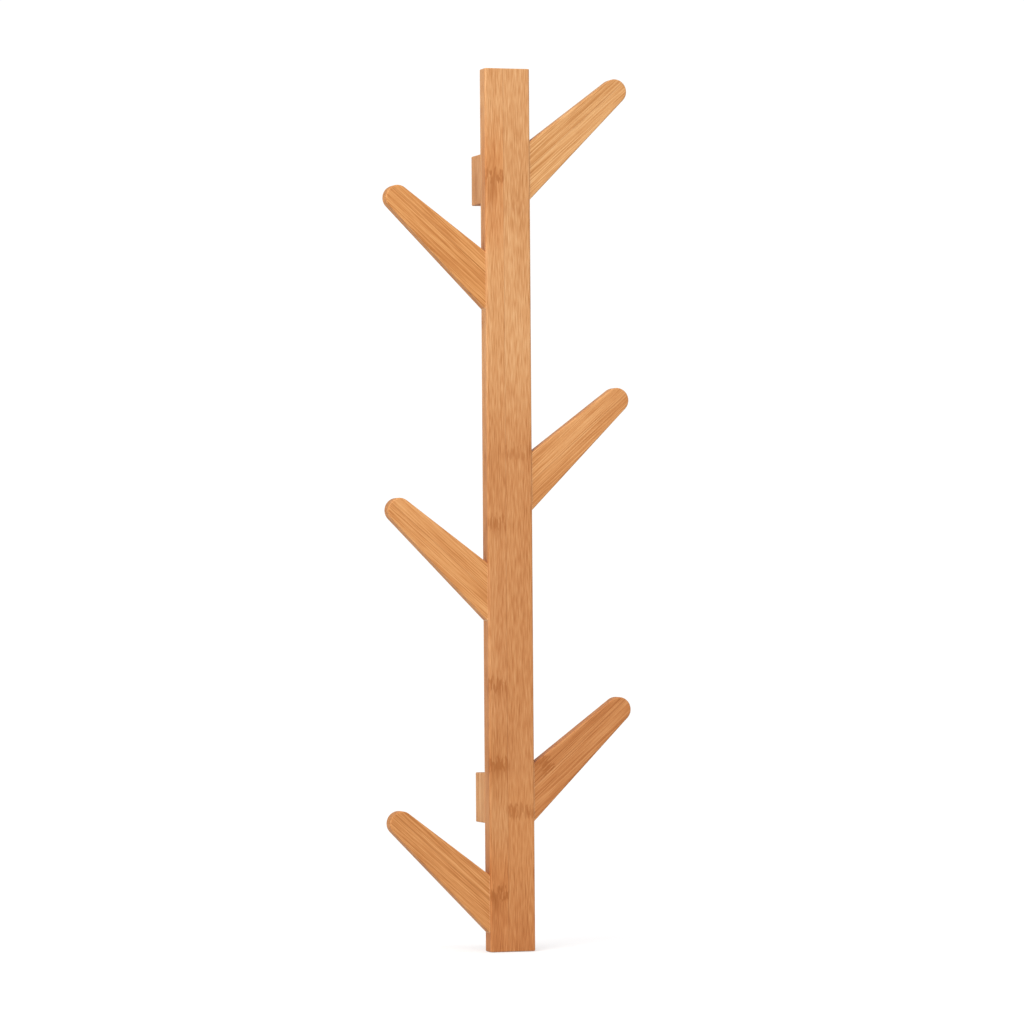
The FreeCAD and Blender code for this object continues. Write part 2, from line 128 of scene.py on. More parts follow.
def vector(tree, operation, *sources):
    """One sum on vectors."""
    node = put(tree, "ShaderNodeVectorMath", operation=operation)
    for socket, source in zip(node.inputs, sources):
        feed(tree, socket, source)
    return node.outputs["Value" if operation == "DOT_PRODUCT" else "Vector"]


def step(tree, value, start, end, low=0.0, high=1.0):
    """Goes softly from low to high while value goes from start to end."""
    node = put(tree, "ShaderNodeMapRange", interpolation_type="SMOOTHSTEP")
    for name, source in zip(("Value", "From Min", "From Max", "To Min", "To Max"),
                            (value, start, end, low, high)):
        feed(tree, node.inputs[name], source)
    return node.outputs["Result"]


def mix(tree, amount, first, second, blend="MIX"):
    """Blends two colours by amount."""
    node = put(tree, "ShaderNodeMix", data_type="RGBA", blend_type=blend)
    feed(tree, node.inputs["Factor"], amount)
    feed(tree, node.inputs[6], first)
    feed(tree, node.inputs[7], second)
    return node.outputs[2]


def noise(tree, where, stretch, detail=2.0):
    """Cloudy values round 0.5, with stretch patches to the metre along X, Y and Z."""
    scaled = vector(tree, "MULTIPLY", where, stretch)
    node = put(tree, "ShaderNodeTexNoise")
    feed(tree, node.inputs["Vector"], scaled)
    feed(tree, node.inputs["Scale"], 1.0)
    feed(tree, node.inputs["Detail"], detail)
    return node.outputs["Fac"]


helpers = (put, feed, number, vector, step, mix, noise)
print("helpers for node trees:", ", ".join(helper.__name__ for helper in helpers))

# %% [markdown]
# A node group is a recipe with a name, such as "bamboo fibres". It is built once, and each
# material that uses it types its own values into its sockets. Copying the nodes into every
# material would look the same, but then a change to the grain would have to be made nine times.

# %% Make a node group and place it in a tree
SOCKETS = {
    "value": "NodeSocketFloat",
    "vector": "NodeSocketVector",
    "colour": "NodeSocketColor",
}


def new_group(name, takes, gives):
    """A shader node group that takes {name: (kind, start value)} and gives {name: kind}."""
    tree = bpy.data.node_groups.new(name, "ShaderNodeTree")
    for label, (kind, start) in takes.items():
        socket = tree.interface.new_socket(label, in_out="INPUT", socket_type=SOCKETS[kind])
        socket.default_value = start
    for label, kind in gives.items():
        tree.interface.new_socket(label, in_out="OUTPUT", socket_type=SOCKETS[kind])
    taken = tree.nodes.new("NodeGroupInput").outputs
    given = tree.nodes.new("NodeGroupOutput").inputs
    return tree, taken, given


def use_group(tree, group, values):
    """Places a group in a tree with its own values, and returns its outputs."""
    node = put(tree, "ShaderNodeGroup", node_tree=group)
    for label, source in values.items():
        feed(tree, node.inputs[label], source)
    return node.outputs


def new_material(name):
    """A material with an empty Principled BSDF, and the piece's own coordinates in metres."""
    material = bpy.data.materials.new(name)
    material.use_nodes = True
    tree = material.node_tree
    shader = tree.nodes["Principled BSDF"]
    place = put(tree, "ShaderNodeTexCoord").outputs["Object"]
    return material, tree, shader, place


print("node kinds ready:", ", ".join(SOCKETS))

# %% [markdown]
# ## The studio
#
# The rack stands in a white studio. For the camera the surroundings are plain white, while the
# light that they send to the wood is graded: strongest from above and in front, weaker from below
# and from the wall's side, which leaves the undersides of the hooks darker. A closed white room
# would do the same with slower, noisier light.

# %% Grade the light of the surroundings
SKY_ABOVE = (0.98, 0.98, 1.0, 1.0)
SKY_LEVEL = (0.84, 0.83, 0.82, 1.0)
SKY_BELOW = (0.46, 0.41, 0.37, 1.0)
SKY_BEHIND = (0.52, 0.50, 0.48, 1.0)
SKY_SEEN = (1.05, 1.05, 1.05, 1.0)

world = bpy.data.worlds.new("studio")
world.use_nodes = True
bpy.context.scene.world = world
sky = world.node_tree
sky_height = put(sky, "ShaderNodeSeparateXYZ")
feed(sky, sky_height.inputs[0], put(sky, "ShaderNodeTexCoord").outputs["Generated"])
lower_half = mix(sky, step(sky, sky_height.outputs["Z"], -0.55, 0.0), SKY_BELOW, SKY_LEVEL)
front_sky = mix(sky, step(sky, sky_height.outputs["Z"], 0.0, 0.7), lower_half, SKY_ABOVE)
towards_wall = step(sky, sky_height.outputs["Y"], 0.0, 0.9)
whole_sky = mix(sky, towards_wall, front_sky, SKY_BEHIND)
seen_by_camera = put(sky, "ShaderNodeLightPath").outputs["Is Camera Ray"]
sky_colour = mix(sky, seen_by_camera, whole_sky, SKY_SEEN)
feed(sky, sky.nodes["Background"].inputs["Color"], sky_colour)
bpy.context.scene.view_settings.view_transform = "Standard"
print("surroundings graded from", SKY_BELOW[0], "below to", SKY_ABOVE[0], "above")

# %% [markdown]
# A soft box is a lamp behind a large cloth, and its size is what makes a shadow soft. The large
# one hangs at the upper left and adds a gentle falloff down the board. The small one stands far
# to the left, where it lifts the board's thin left edge. A sun or a point lamp would need no
# cloth, but its shadows are hard.

# %% Hang the soft boxes


def soft_box(name, stands_at, aims_at, width, height, watts, tint):
    """A rectangular area light that faces a point."""
    data = bpy.data.lights.new(name, "AREA")
    data.shape = "RECTANGLE"
    data.size = width
    data.size_y = height
    data.energy = watts
    data.color = tint
    lamp = bpy.data.objects.new(name, data)
    bpy.context.scene.collection.objects.link(lamp)
    lamp.location = stands_at
    lamp.rotation_mode = "QUATERNION"
    lamp.rotation_quaternion = (stands_at - aims_at).to_track_quat("Z", "Y")
    return lamp


upper_board = Vector((0.0, cad_low.y, 0.25))
lower_board = Vector((0.0, cad_low.y, -0.15))
key_box = soft_box(
    "key_box", stands_at=direction(-42.0, 34.0) * 2.6, aims_at=upper_board,
    width=1.5, height=1.1, watts=30.5, tint=(1.0, 0.985, 0.96),
)
side_box = soft_box(
    "side_box", stands_at=direction(-80.0, 2.0) * 2.4, aims_at=lower_board,
    width=0.9, height=1.6, watts=6.0, tint=(1.0, 0.99, 0.98),
)
print("soft boxes:", key_box.data.energy, "W and", side_box.data.energy, "W")

# %% [markdown]
# ### The floor
#
# The foot of the board stands just clear of a white floor, so that a thin contact shadow grounds
# it. A disc is enough, and one circle operator makes it. Its back side is see-through, or a
# viewer who looks up from below would see nothing but floor. The lacquer doesn't mirror it, which
# keeps the undersides of the hooks dark, and it glows a little for the camera alone, so that it
# meets the white surroundings without an edge. A large floor with no glow would show a grey band
# far away.

# %% Lay the floor
FLOOR_RADIUS = 1.5
FLOOR_GAP = 0.4 * MM
FLOOR_DULL = (0.70, 0.70, 0.70, 1.0)
FLOOR_BRIGHT = (0.74, 0.74, 0.74, 1.0)
FLOOR_GLOW = 0.34

floor_shape = bmesh.new()
bmesh.ops.create_circle(floor_shape, cap_ends=True, segments=96, radius=FLOOR_RADIUS)
bmesh.ops.translate(floor_shape, verts=floor_shape.verts, vec=(0.0, 0.0, cad_low.z - FLOOR_GAP))
floor_mesh = bpy.data.meshes.new("floor")
floor_shape.to_mesh(floor_mesh)
floor_shape.free()
floor = bpy.data.objects.new("floor", floor_mesh)
bpy.context.scene.collection.objects.link(floor)
floor.visible_glossy = False

floor_paint, floor_tree, floor_shader, floor_place = new_material("floor_paint")
floor_cloud = noise(floor_tree, floor_place, (6.0, 6.0, 6.0))
floor_white = mix(floor_tree, floor_cloud, FLOOR_DULL, FLOOR_BRIGHT)
feed(floor_tree, floor_shader.inputs["Base Color"], floor_white)
feed(floor_tree, floor_shader.inputs["Roughness"], 0.9)
feed(floor_tree, floor_shader.inputs["Specular IOR Level"], 0.0)
feed(floor_tree, floor_shader.inputs["Emission Color"], (1.0, 1.0, 1.0, 1.0))
floor_seen = put(floor_tree, "ShaderNodeLightPath").outputs["Is Camera Ray"]
floor_glow = number(floor_tree, "MULTIPLY", floor_seen, FLOOR_GLOW)
feed(floor_tree, floor_shader.inputs["Emission Strength"], floor_glow)
from_below = put(floor_tree, "ShaderNodeNewGeometry").outputs["Backfacing"]
see_through = put(floor_tree, "ShaderNodeBsdfTransparent").outputs[0]
floor_two_sides = put(floor_tree, "ShaderNodeMixShader")
feed(floor_tree, floor_two_sides.inputs[0], from_below)
feed(floor_tree, floor_two_sides.inputs[1], floor_shader.outputs[0])
feed(floor_tree, floor_two_sides.inputs[2], see_through)
feed(floor_tree, floor_tree.nodes["Material Output"].inputs["Surface"], floor_two_sides.outputs[0])
floor_mesh.materials.append(floor_paint)
print(f"floor of {FLOOR_RADIUS} m radius at {floor_mesh.vertices[0].co.z / MM:.1f} mm")

# %% [markdown]
# ## Bamboo: strips and plies
#
# Bamboo can't be sawn into planks, because a cane is a tube. It is split into strips about 25 mm
# wide and 5 mm thick, which are planed, steamed to a caramel tone and glued side by side and in
# layers. So a board is a stack of cells, and each cell is another piece of cane with its own
# tone. The first group finds the cell that a point is in. It counts plies from the front face and
# strips from a joint, and gives each cell a random tone and its own stretch of pattern. Because
# it works in all three directions, the joints on the faces, the edges and the ends meet as they
# do in real wood.

# %% Group: bamboo strips
JUST_INSIDE = 0.02  # of a ply: keeps a point on an outer face from falling into the next ply
PLY_SHIFT = 0.37  # of a strip's width: how far the joints move from one ply to the next

strips, taken, given = new_group(
    "bamboo strips",
    {
        "Board Place": ("vector", (0.0, 0.0, 0.0)),
        "Strip Width": ("value", 25 * MM),
        "Joint At": ("value", 0.0),
        "Front At": ("value", 0.0),
        "Ply": ("value", 5 * MM),
        "Plies": ("value", 3.0),
        "Seed": ("value", 0.0),
    },
    {
        "Ply Number": "value",
        "Strip Number": "value",
        "Tone": "value",
        "Phase": "value",
        "Glue Line": "value",
        "Own Place": "vector",
    },
)
board = put(strips, "ShaderNodeSeparateXYZ")
feed(strips, board.inputs[0], taken["Board Place"])
from_front = number(strips, "SUBTRACT", board.outputs["Y"], taken["Front At"])
ply_place = number(strips, "DIVIDE", from_front, taken["Ply"])
last_ply = number(strips, "SUBTRACT", taken["Plies"], JUST_INSIDE)
behind_front = number(strips, "MAXIMUM", ply_place, JUST_INSIDE)
ply_number = number(strips, "FLOOR", number(strips, "MINIMUM", behind_front, last_ply))
# Each ply is laid with its joints shifted, so that no joint runs through the board.
strips_shifted = number(strips, "MULTIPLY", ply_number, PLY_SHIFT)
stagger = number(strips, "MULTIPLY", strips_shifted, taken["Strip Width"])
from_joint = number(strips, "SUBTRACT", board.outputs["X"], taken["Joint At"])
staggered = number(strips, "ADD", from_joint, stagger)
strip_number = number(strips, "FLOOR", number(strips, "DIVIDE", staggered, taken["Strip Width"]))
cell = put(strips, "ShaderNodeCombineXYZ")
feed(strips, cell.inputs["X"], number(strips, "ADD", strip_number, taken["Seed"]))
feed(strips, cell.inputs["Y"], ply_number)
feed(strips, cell.inputs["Z"], taken["Seed"])
chance = put(strips, "ShaderNodeTexWhiteNoise", noise_dimensions="3D")
feed(strips, chance.inputs["Vector"], cell.outputs[0])
chances = put(strips, "ShaderNodeSeparateColor")
feed(strips, chances.inputs[0], chance.outputs["Color"])
feed(strips, given["Ply Number"], ply_number)
feed(strips, given["Strip Number"], strip_number)
feed(strips, given["Tone"], chance.outputs["Value"])
feed(strips, given["Phase"], chances.outputs[0])
own_place = vector(strips, "ADD", taken["Board Place"], chance.outputs["Color"])
feed(strips, given["Own Place"], own_place)
print("strips group gives:", ", ".join(socket.name for socket in given if socket.name))

# %% [markdown]
# Where two cells meet, the glue shows as a brown hairline. The distance to the nearest joint is a
# zigzag over the strips, and a soft step keeps only its lowest tenths of a millimetre. Dark lines
# could be painted on instead, but then they would miss the cells wherever a width changes.

# %% Find the glue lines
STRIP_LINE = 0.22 * MM
PLY_LINE = 0.18 * MM
LINE_CORE = 0.05 * MM

half_strip = number(strips, "MULTIPLY", taken["Strip Width"], 0.5)
from_strip_joint = number(strips, "PINGPONG", staggered, half_strip)
strip_line = step(strips, from_strip_joint, STRIP_LINE, LINE_CORE)
# The outer faces are no glue lines, so the place is held half a ply inside them.
last_half = number(strips, "SUBTRACT", taken["Plies"], 0.5)
held = number(strips, "MINIMUM", number(strips, "MAXIMUM", ply_place, 0.5), last_half)
from_ply_joint = number(strips, "MULTIPLY", number(strips, "PINGPONG", held, 0.5), taken["Ply"])
ply_line = step(strips, from_ply_joint, PLY_LINE, LINE_CORE)
feed(strips, given["Glue Line"], number(strips, "MAXIMUM", strip_line, ply_line))
print("strips group:", len(strips.nodes), "nodes")

# %% [markdown]
# ## Bamboo: fibres
#
# Bamboo has no growth rings. Its look comes from straight bundles of dark fibre in paler pith,
# which run the whole length of the strip. Noise that is squeezed across the strip and stretched
# along it gives them: wide streaks two or three millimetres apart, dashes and fine fibres inside
# those, a slow drift of tone, and dark bundles where a cutter opened one. How many dashes follow
# each other in a metre is left to the board, for the hooks have long ones and the upright board
# short ones. A wood texture of rings would give timber and not cane.

# %% Group: bamboo fibres
STREAKS_A_METRE = (380.0, 380.0, 8.0)
DASHES_ACROSS = 1250.0
FIBRES_A_METRE = (1700.0, 1700.0, 55.0)
DRIFT_A_METRE = (45.0, 45.0, 7.0)
BUNDLES_A_METRE = (1150.0, 1150.0, 85.0)

fibres, taken, given = new_group(
    "bamboo fibres",
    {"Own Place": ("vector", (0.0, 0.0, 0.0)), "Dashes a Metre": ("value", 75.0)},
    {
        "Streaks": "value",
        "Dashes": "value",
        "Fibres": "value",
        "Bundles": "value",
        "Drift": "value",
    },
)
feed(fibres, given["Streaks"], noise(fibres, taken["Own Place"], STREAKS_A_METRE))
dash_stretch = put(fibres, "ShaderNodeCombineXYZ")
feed(fibres, dash_stretch.inputs["X"], DASHES_ACROSS)
feed(fibres, dash_stretch.inputs["Y"], DASHES_ACROSS)
feed(fibres, dash_stretch.inputs["Z"], taken["Dashes a Metre"])
dashes = noise(fibres, taken["Own Place"], dash_stretch.outputs[0], detail=1.0)
feed(fibres, given["Dashes"], dashes)
feed(fibres, given["Fibres"], noise(fibres, taken["Own Place"], FIBRES_A_METRE))
feed(fibres, given["Drift"], noise(fibres, taken["Own Place"], DRIFT_A_METRE))
bundle_cells = put(fibres, "ShaderNodeTexVoronoi", feature="F1")
bundle_place = vector(fibres, "MULTIPLY", taken["Own Place"], BUNDLES_A_METRE)
feed(fibres, bundle_cells.inputs["Vector"], bundle_place)
feed(fibres, bundle_cells.inputs["Scale"], 1.0)
feed(fibres, given["Bundles"], step(fibres, bundle_cells.outputs["Distance"], 0.34, 0.12))
print("fibres group:", len(fibres.nodes), "nodes")

# %% [markdown]
# ## Bamboo: knuckles
#
# A cane has a ring every few hand widths where its hollow is closed. In a planed strip the ring
# shows as a knuckle: a short zigzag of dark orange across that one strip, with stained fibres
# trailing from it. The group draws the knuckle that is nearest to a point, from how far above it
# the point is. One copy of the group for each knuckle would do too, but the renderer can hold
# only so many numbers at once, and a board with eighteen copies turns out black.

# %% Group: bamboo knuckle
ARCH_WIDTH = 2.6 * MM
ARCH_SLOPE = 1.7
SIDEWAYS_WOBBLE = 9 * MM
FRAYED_BY = 4.5 * MM
RING_HALF = 1.5 * MM
BAND_HALF = 7.5 * MM
HALO_HALF = 12 * MM

knuckle, taken, given = new_group(
    "bamboo knuckle",
    {
        "Board Place": ("vector", (0.0, 0.0, 0.0)),
        "Above Knuckle": ("value", 1.0),
        "Tail": ("value", 30 * MM),
        "Strength": ("value", 1.0),
        "Streaks": ("value", 0.5),
    },
    {"Stain": "value"},
)
across = put(knuckle, "ShaderNodeSeparateXYZ")
feed(knuckle, across.inputs[0], taken["Board Place"])
wobble = noise(knuckle, taken["Board Place"], (260.0, 260.0, 18.0))
fray = noise(knuckle, taken["Board Place"], (900.0, 900.0, 40.0), detail=1.0)
sideways = number(knuckle, "MULTIPLY", wobble, SIDEWAYS_WOBBLE)
arch_place = number(knuckle, "ADD", across.outputs["X"], sideways)
arch_zigzag = number(knuckle, "PINGPONG", arch_place, ARCH_WIDTH)
arch_rise = number(knuckle, "MULTIPLY", arch_zigzag, ARCH_SLOPE)
ring_height = number(knuckle, "SUBTRACT", taken["Above Knuckle"], arch_rise)
frayed = number(knuckle, "MULTIPLY", fray, FRAYED_BY)
from_ring = number(knuckle, "ADD", ring_height, frayed)
ring_distance = number(knuckle, "ABSOLUTE", from_ring)
stroke_noise = noise(knuckle, taken["Board Place"], (600.0, 600.0, 110.0), detail=0.0)
strokes = step(knuckle, stroke_noise, 0.46, 0.56)
ring_line = step(knuckle, ring_distance, RING_HALF, 0.5 * MM)
stroke_depth = number(knuckle, "ADD", 0.45, number(knuckle, "MULTIPLY", strokes, 0.55))
ring = number(knuckle, "MULTIPLY", ring_line, stroke_depth)
band_shape = step(knuckle, ring_distance, BAND_HALF, 5 * MM)
band = number(knuckle, "MULTIPLY", number(knuckle, "MULTIPLY", band_shape, strokes), 0.85)
halo = number(knuckle, "ADD", step(knuckle, ring_distance, HALO_HALF, 0.0, 0.0, 0.15), band)
print("a knuckle's band is", round(2 * BAND_HALF / MM), "mm tall")

# %% [markdown]
# Below the ring the stain runs down some of the fibres like a tail. The wide streaks pick which
# ones, so that the tail follows the grain. An even gradient would be simpler, but it looks like a
# scorch.

# %% Add the tail to the knuckle
stained_fibres = step(knuckle, taken["Streaks"], 0.60, 0.42, 0.05, 0.85)
tail_end = number(knuckle, "MULTIPLY", taken["Tail"], -1.0)
tail_below = step(knuckle, from_ring, tail_end, -2 * MM)
tail_above = step(knuckle, from_ring, 3 * MM, -1 * MM)
tail_fade = number(knuckle, "MULTIPLY", tail_below, tail_above)
tail = number(knuckle, "MULTIPLY", tail_fade, stained_fibres)
strongest = number(knuckle, "MAXIMUM", number(knuckle, "MAXIMUM", ring, halo), tail)
feed(knuckle, given["Stain"], number(knuckle, "MULTIPLY", strongest, taken["Strength"]))
print("knuckle group:", len(knuckle.nodes), "nodes")

# %% [markdown]
# ## Polished edges
#
# Hands and cloth polish a rack's rounded edges, and the sander takes a little more off them, so
# they are smoother than the faces. On the bamboo the edges are also paler, partly from that wear
# and partly as a painted highlight along the rounded edges. To find an edge, rays are sent into
# the wood from the surface: deep in a face they meet nothing within a few millimetres, but near an
# edge they soon meet the next face. This works on any rounded shape, where comparing normals finds
# only sharp corners.

# %% Group: polished edges
EDGE_REACH = 1.6 * MM

edges, taken, given = new_group(
    "polished edges",
    {"Reach": ("value", EDGE_REACH), "Breakup": ("value", 0.5)},
    {"Wear": "value"},
)
inward = put(edges, "ShaderNodeAmbientOcclusion", samples=8, inside=True, only_local=True)
feed(edges, inward.inputs["Distance"], taken["Reach"])
edge_share = step(edges, inward.outputs["AO"], 0.88, 0.40)
rubbed = step(edges, taken["Breakup"], 0.25, 0.75, 0.55, 1.0)
feed(edges, given["Wear"], number(edges, "MULTIPLY", edge_share, rubbed))
print("edge group:", len(edges.nodes), "nodes")

# %% [markdown]
# ## Bamboo: colour, gloss and relief
#
# The last group turns the masks into what the eye sees. A ramp from dark fibre to pale pith gives
# the colour, and every mask then stains or bleaches it. The same masks drive the roughness, since
# open fibres hold less lacquer, and the height, because the lacquer sinks a little over each
# bundle and glue line. End grain drinks the finish, so it turns out darker and duller than the
# faces.

# %% Group: bamboo colour
bamboo, taken, given = new_group(
    "bamboo colour",
    {
        "Tone": ("value", 0.5),
        "Streaks": ("value", 0.5),
        "Dashes": ("value", 0.5),
        "Fibres": ("value", 0.5),
        "Bundles": ("value", 0.0),
        "Drift": ("value", 0.5),
        "Glue Line": ("value", 0.0),
        "Stain": ("value", 0.0),
        "Wear": ("value", 0.0),
        "End Grain": ("value", 0.0),
        "Contrast": ("value", 1.0),
        "Tint": ("colour", (1.0, 1.0, 1.0, 1.0)),
    },
    {"Colour": "colour", "Roughness": "value", "Height": "value"},
)
DARK_FIBRE = (0.480, 0.200, 0.060, 1.0)
CARAMEL = (0.615, 0.290, 0.110, 1.0)
HONEY = (0.690, 0.360, 0.152, 1.0)
PALE_PITH = (0.780, 0.450, 0.218, 1.0)
GLUE_BROWN = (0.290, 0.110, 0.036, 1.0)
KNUCKLE_BROWN = (0.360, 0.108, 0.018, 1.0)
END_BROWN = (0.320, 0.138, 0.052, 1.0)
POLISHED_AND_HIGHLIGHT = (0.860, 0.500, 0.240, 1.0)


def share(tree, value, weight):
    """How far value is above or below its middle of 0.5, times weight."""
    return number(tree, "MULTIPLY", number(tree, "SUBTRACT", value, 0.5), weight)


fine = share(bamboo, taken["Fibres"], 0.90)
grain = number(bamboo, "ADD", share(bamboo, taken["Dashes"], 1.60), fine)
shade = number(bamboo, "ADD", 0.5, number(bamboo, "MULTIPLY", grain, taken["Contrast"]))
for label, weight in (("Streaks", 0.38), ("Drift", 0.42)):
    shade = number(bamboo, "ADD", shade, share(bamboo, taken[label], weight))
shade = number(bamboo, "ADD", shade, share(bamboo, taken["Tone"], 0.20), clamp=True)
ramp = put(bamboo, "ShaderNodeValToRGB")
feed(bamboo, ramp.inputs[0], shade)
ramp_stops = ((0.12, DARK_FIBRE), (0.42, CARAMEL), (0.62, HONEY), (0.92, PALE_PITH))
for position, _ in ramp_stops[1:-1]:
    ramp.color_ramp.elements.new(position)
for element, (position, colour) in zip(ramp.color_ramp.elements, ramp_stops):
    element.position = position
    element.color = colour
skin = mix(bamboo, 1.0, ramp.outputs["Color"], taken["Tint"], "MULTIPLY")
STAINS = (
    # (mask, strength, colour), in the order that they are laid on
    ("Bundles", 0.22, DARK_FIBRE),
    ("Glue Line", 0.55, GLUE_BROWN),
    ("Stain", 0.80, KNUCKLE_BROWN),
    ("End Grain", 0.30, END_BROWN),
    # The pale edge colour is partly polish wear and partly a painted highlight.
    ("Wear", 0.70, POLISHED_AND_HIGHLIGHT),
)
for mask, strength, colour in STAINS:
    skin = mix(bamboo, number(bamboo, "MULTIPLY", taken[mask], strength), skin, colour)
feed(bamboo, given["Colour"], skin)
print(len(ramp_stops), "tones of cane and", len(STAINS), "stains over them")

# %% [markdown]
# Light tells gloss and relief apart from colour: a worn edge shines, end grain stays dull, and
# the fibres catch a highlight one by one. Both sums take the same masks as the colour, each with
# its own weight, because a pattern of their own would look like a film over the wood.

# %% Gloss and relief of the lacquered bamboo
LACQUER_ROUGHNESS = 0.46
LACQUER_LEVEL = 0.7
DULLING = (("Bundles", 0.10), ("End Grain", 0.20), ("Wear", -0.08))
RAISING = (("Bundles", -0.30), ("Glue Line", -0.60), ("Stain", 0.35))

gloss = number(bamboo, "ADD", LACQUER_ROUGHNESS, share(bamboo, taken["Fibres"], 0.16))
for mask, weight in DULLING:
    gloss = number(bamboo, "ADD", gloss, number(bamboo, "MULTIPLY", taken[mask], weight))
feed(bamboo, given["Roughness"], gloss)
relief = number(bamboo, "ADD", LACQUER_LEVEL, share(bamboo, taken["Fibres"], 0.30))
relief = number(bamboo, "ADD", relief, share(bamboo, taken["Dashes"], 0.40))
for mask, weight in RAISING:
    relief = number(bamboo, "ADD", relief, number(bamboo, "MULTIPLY", taken[mask], weight))
feed(bamboo, given["Height"], relief)
print("colour group:", len(bamboo.nodes), "nodes")

# %% [markdown]
# ## The bamboo finish of one board
#
# One function places the groups for a board: where its front face is, how its strips are laid,
# which way they run, and where its knuckles sit. A Mapping node turns the coordinates until the
# strips run along Z, as the groups expect. A hook board is sawn so that its strips run from its
# base to its tip.
#
# ### A table of knuckles
#
# Each front strip has its own list of knuckles. A ramp of flat steps works as a table: for any
# height it gives the nearest knuckle's own height, strength and tail, packed into red, green and
# blue. An attribute on the mesh could carry such numbers too, but the script adds no data to the
# CAD meshes.

# %% Look up the knuckles of a front strip
LOWEST = -450 * MM
HIGHEST = 450 * MM
LONGEST_TAIL = 100 * MM
NO_KNUCKLE = ((0, 20, 0.0),)


def choose(tree, mask, otherwise, chosen):
    """The chosen number where mask is 1, and the other one where it is 0."""
    node = put(tree, "ShaderNodeMix", data_type="FLOAT")
    feed(tree, node.inputs[0], mask)
    feed(tree, node.inputs[2], otherwise)
    feed(tree, node.inputs[3], chosen)
    return node.outputs[0]


def fraction_between(tree, value, start, end):
    """Where value lies between start and end, from 0 to 1."""
    node = put(tree, "ShaderNodeMapRange")
    for name, source in zip(("Value", "From Min", "From Max"), (value, start, end)):
        feed(tree, node.inputs[name], source)
    return node.outputs["Result"]


def knuckle_table(tree, height_share, marks):
    """A ramp of flat steps that holds the nearest knuckle's height, strength and tail as a colour.
    A mark is (height and tail in mm, strength), from the lowest up."""
    ramp = put(tree, "ShaderNodeValToRGB")
    feed(tree, ramp.inputs[0], height_share)
    steps = ramp.color_ramp
    steps.interpolation = "CONSTANT"
    for below, above in zip(marks, marks[1:]):
        halfway = (below[0] + above[0]) / 2 * MM
        steps.elements.new((halfway - LOWEST) / (HIGHEST - LOWEST))
    steps.elements.remove(steps.elements[-1])
    for element, (height, trail, strength) in zip(steps.elements, marks):
        height_as_red = (height * MM - LOWEST) / (HIGHEST - LOWEST)
        element.color = (height_as_red, strength, trail * MM / LONGEST_TAIL, 1.0)
    return ramp.outputs["Color"]


print("knuckle tables reach from", round(LOWEST / MM), "to", round(HIGHEST / MM), "mm")

# %% [markdown]
# ### A tint that changes along the board
#
# Steaming and sunlight colour a strip unevenly, so it is paler at one end than at the other. On
# the upright board the tint also carries painted shade: its darker stops from the middle down are
# partly the cane's own tone and partly a painted shadow and light falling off towards the foot.
# The tint goes softly from one stop to the next as the height grows. Noise would vary it as well,
# but not where this board has it.

# %% Tint by height


def height_of(tree, place):
    """The height, or the place along the strips, of a point."""
    axes = put(tree, "ShaderNodeSeparateXYZ")
    feed(tree, axes.inputs[0], place)
    return axes.outputs["Z"]


def tint_by_height(tree, height, stops):
    """A tint that changes with height: stops are (height in mm, colour), from the foot up."""
    tinted = (*stops[0][1], 1.0)
    for (below, _), (above, colour) in zip(stops, stops[1:]):
        climb = step(tree, height, below * MM, above * MM)
        tinted = mix(tree, climb, tinted, (*colour, 1.0))
    return tinted


print("tint helpers:", height_of.__name__, "and", tint_by_height.__name__)

# %% [markdown]
# ### Knuckles in front and behind
#
# The strips of the front ply take their knuckles from the tables. The strips behind it have no
# list, so they get one every 190 mm, each strip with its own start. Listing those as well would
# be more exact, but nobody could tell.

# %% Mark the knuckles of a board
HIDDEN_SPACING = 190 * MM
HIDDEN_TAIL = 28 * MM
HIDDEN_STRENGTH = 0.7


def mark_knuckles(tree, board_place, laid, left_of_joint, streaks, left_marks, right_marks):
    """Draws the front strips' listed knuckles, and evenly spaced ones in the strips behind."""
    height = height_of(tree, board_place)
    share_of_height = fraction_between(tree, height, LOWEST, HIGHEST)
    in_front = number(tree, "LESS_THAN", laid["Ply Number"], 0.5)
    right_table = knuckle_table(tree, share_of_height, right_marks)
    left_table = knuckle_table(tree, share_of_height, left_marks)
    listed = mix(tree, left_of_joint, right_table, left_table)
    parts = put(tree, "ShaderNodeSeparateColor")
    feed(tree, parts.inputs[0], listed)
    above_lowest = number(tree, "MULTIPLY", parts.outputs[0], HIGHEST - LOWEST)
    listed_height = number(tree, "ADD", above_lowest, LOWEST)
    above_listed = number(tree, "SUBTRACT", height, listed_height)
    spacings_up = number(tree, "DIVIDE", height, HIDDEN_SPACING)
    shifted = number(tree, "ADD", spacings_up, laid["Phase"])
    from_middle = number(tree, "SUBTRACT", number(tree, "FRACT", shifted), 0.5)
    above_hidden = number(tree, "MULTIPLY", from_middle, HIDDEN_SPACING)
    listed_tail = number(tree, "MULTIPLY", parts.outputs[2], LONGEST_TAIL)
    mark = use_group(tree, knuckle, {
        "Board Place": board_place,
        "Above Knuckle": choose(tree, in_front, above_hidden, above_listed),
        "Tail": choose(tree, in_front, HIDDEN_TAIL, listed_tail),
        "Strength": choose(tree, in_front, HIDDEN_STRENGTH, parts.outputs[1]),
        "Streaks": streaks,
    })
    return mark["Stain"]


print("hidden strips have a knuckle every", round(HIDDEN_SPACING / MM), "mm")

# %% [markdown]
# ### The whole finish
#
# The function below reads the board's box for its front face and its thickness, places the
# groups, and wires their masks to the shader and a Bump node. The lacquer is thin: a faint coat
# over wood that hardly mirrors. A thicker coat would look like a varnished toy.

